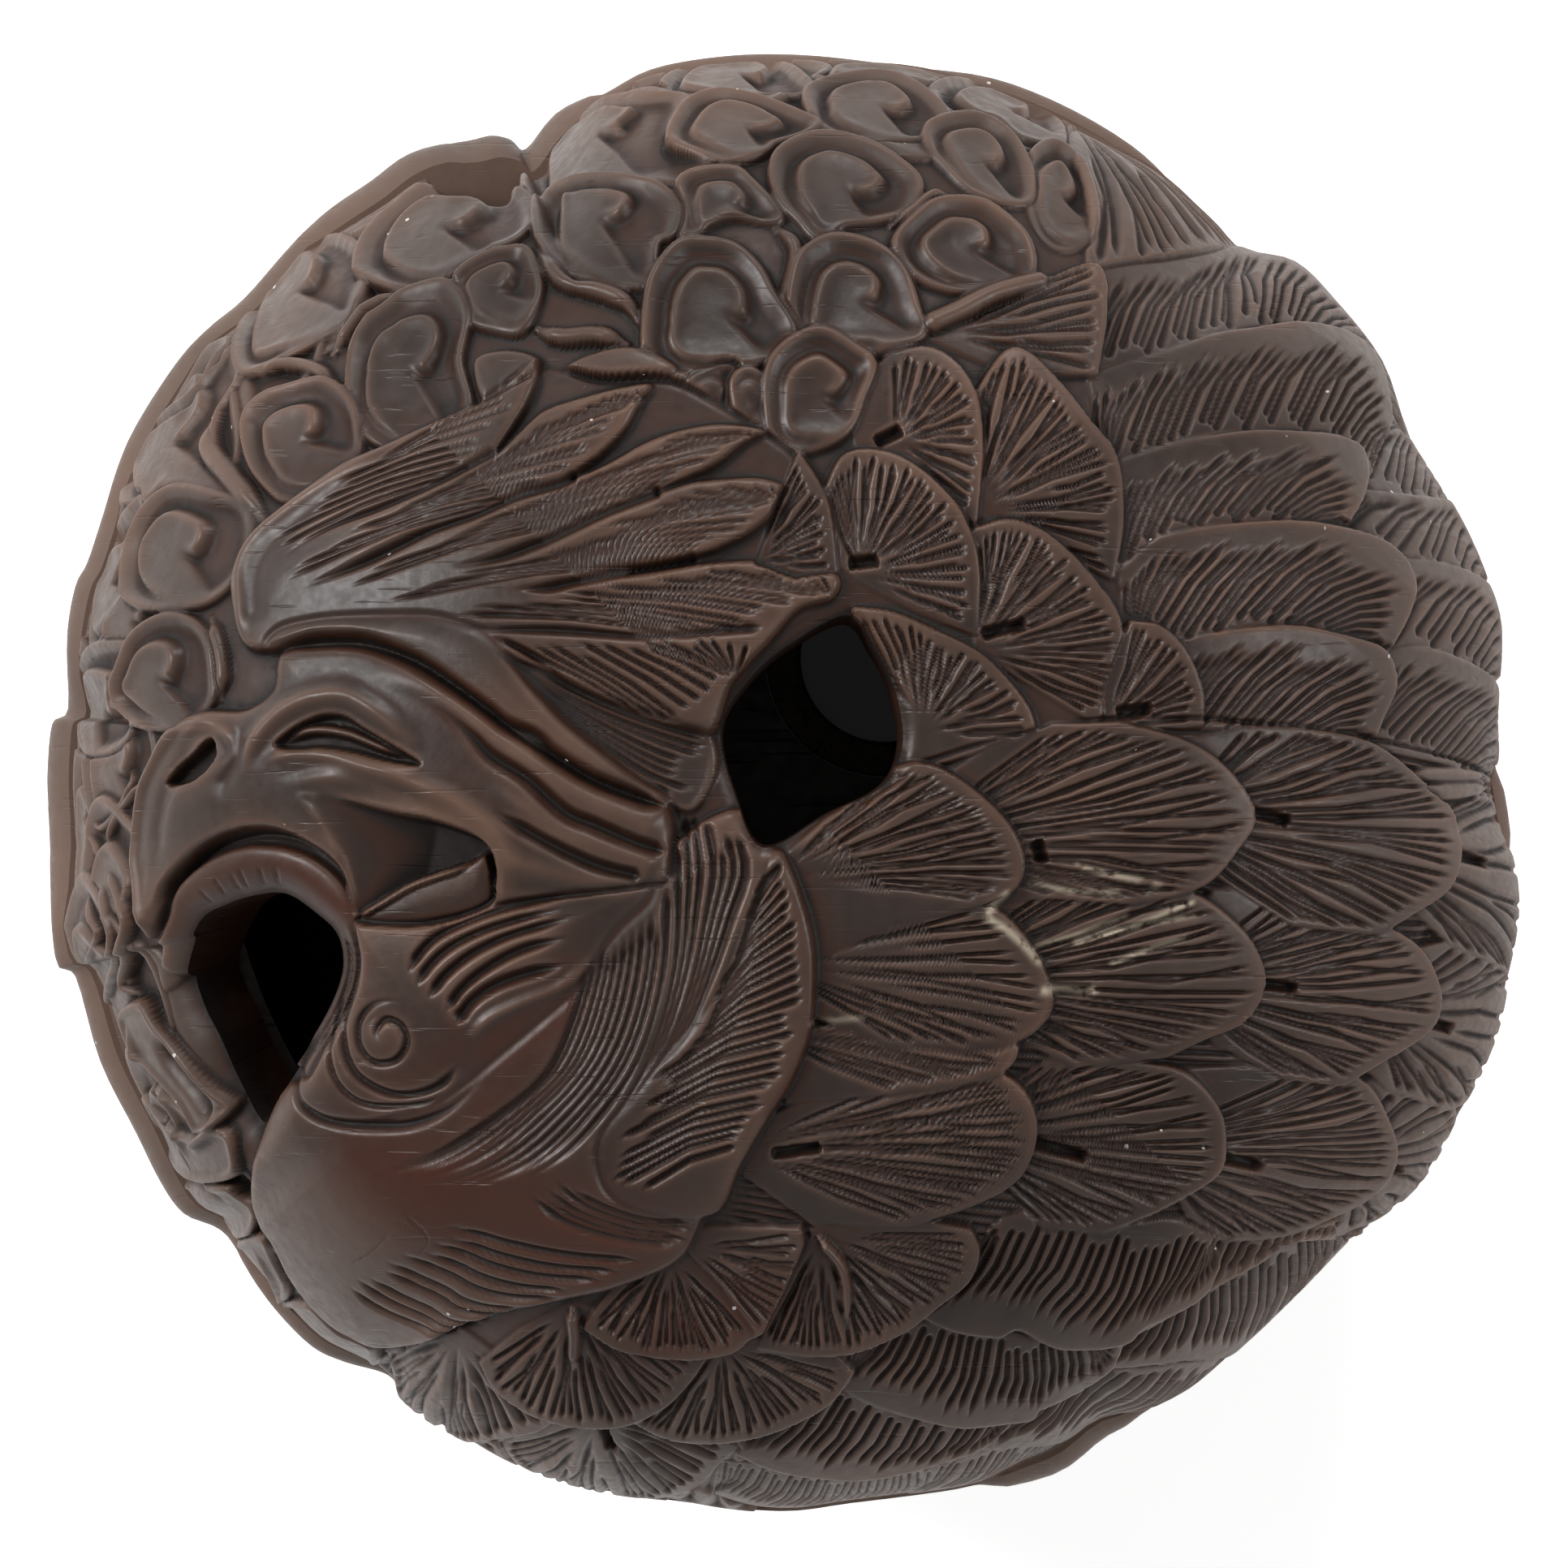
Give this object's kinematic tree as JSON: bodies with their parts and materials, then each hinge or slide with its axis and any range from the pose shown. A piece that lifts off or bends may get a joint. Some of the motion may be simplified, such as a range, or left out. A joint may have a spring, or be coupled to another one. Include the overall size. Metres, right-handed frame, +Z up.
{
  "type": "manju netsuke",
  "caption": "Round bun-shaped hollow toggle in two carved wooden halves, pierced on the face, with a ringed cord hole in its flat-footed back.",
  "frame": {"origin": "centre of the flat foot of the back, on the turning axis, where the netsuke stands on a table", "axes": "+Z up out of the carved face, +X to the right and +Y to the top of the carving as it is pictured"},
  "size_m": [0.0422, 0.0418, 0.0261],
  "materials": {
    "wood_face": "dark polished wood, satin, worn lighter on the ridges",
    "wood_back": "dark polished wood, satin",
    "horn": "polished black buffalo horn"
  },
  "bodies": {
    "back": {"back_half": "wood_back", "cord_hole_ring": "horn"},
    "face": {"face_half": "wood_face", "cord_eyelet": "horn", "eye_pupil": "horn"}
  },
  "joints": [
    {"name": "face_lift", "type": "slide", "parent": "back", "child": "face", "axis": [0, 0, 1], "range_m": [0, 0.03]}
  ]
}
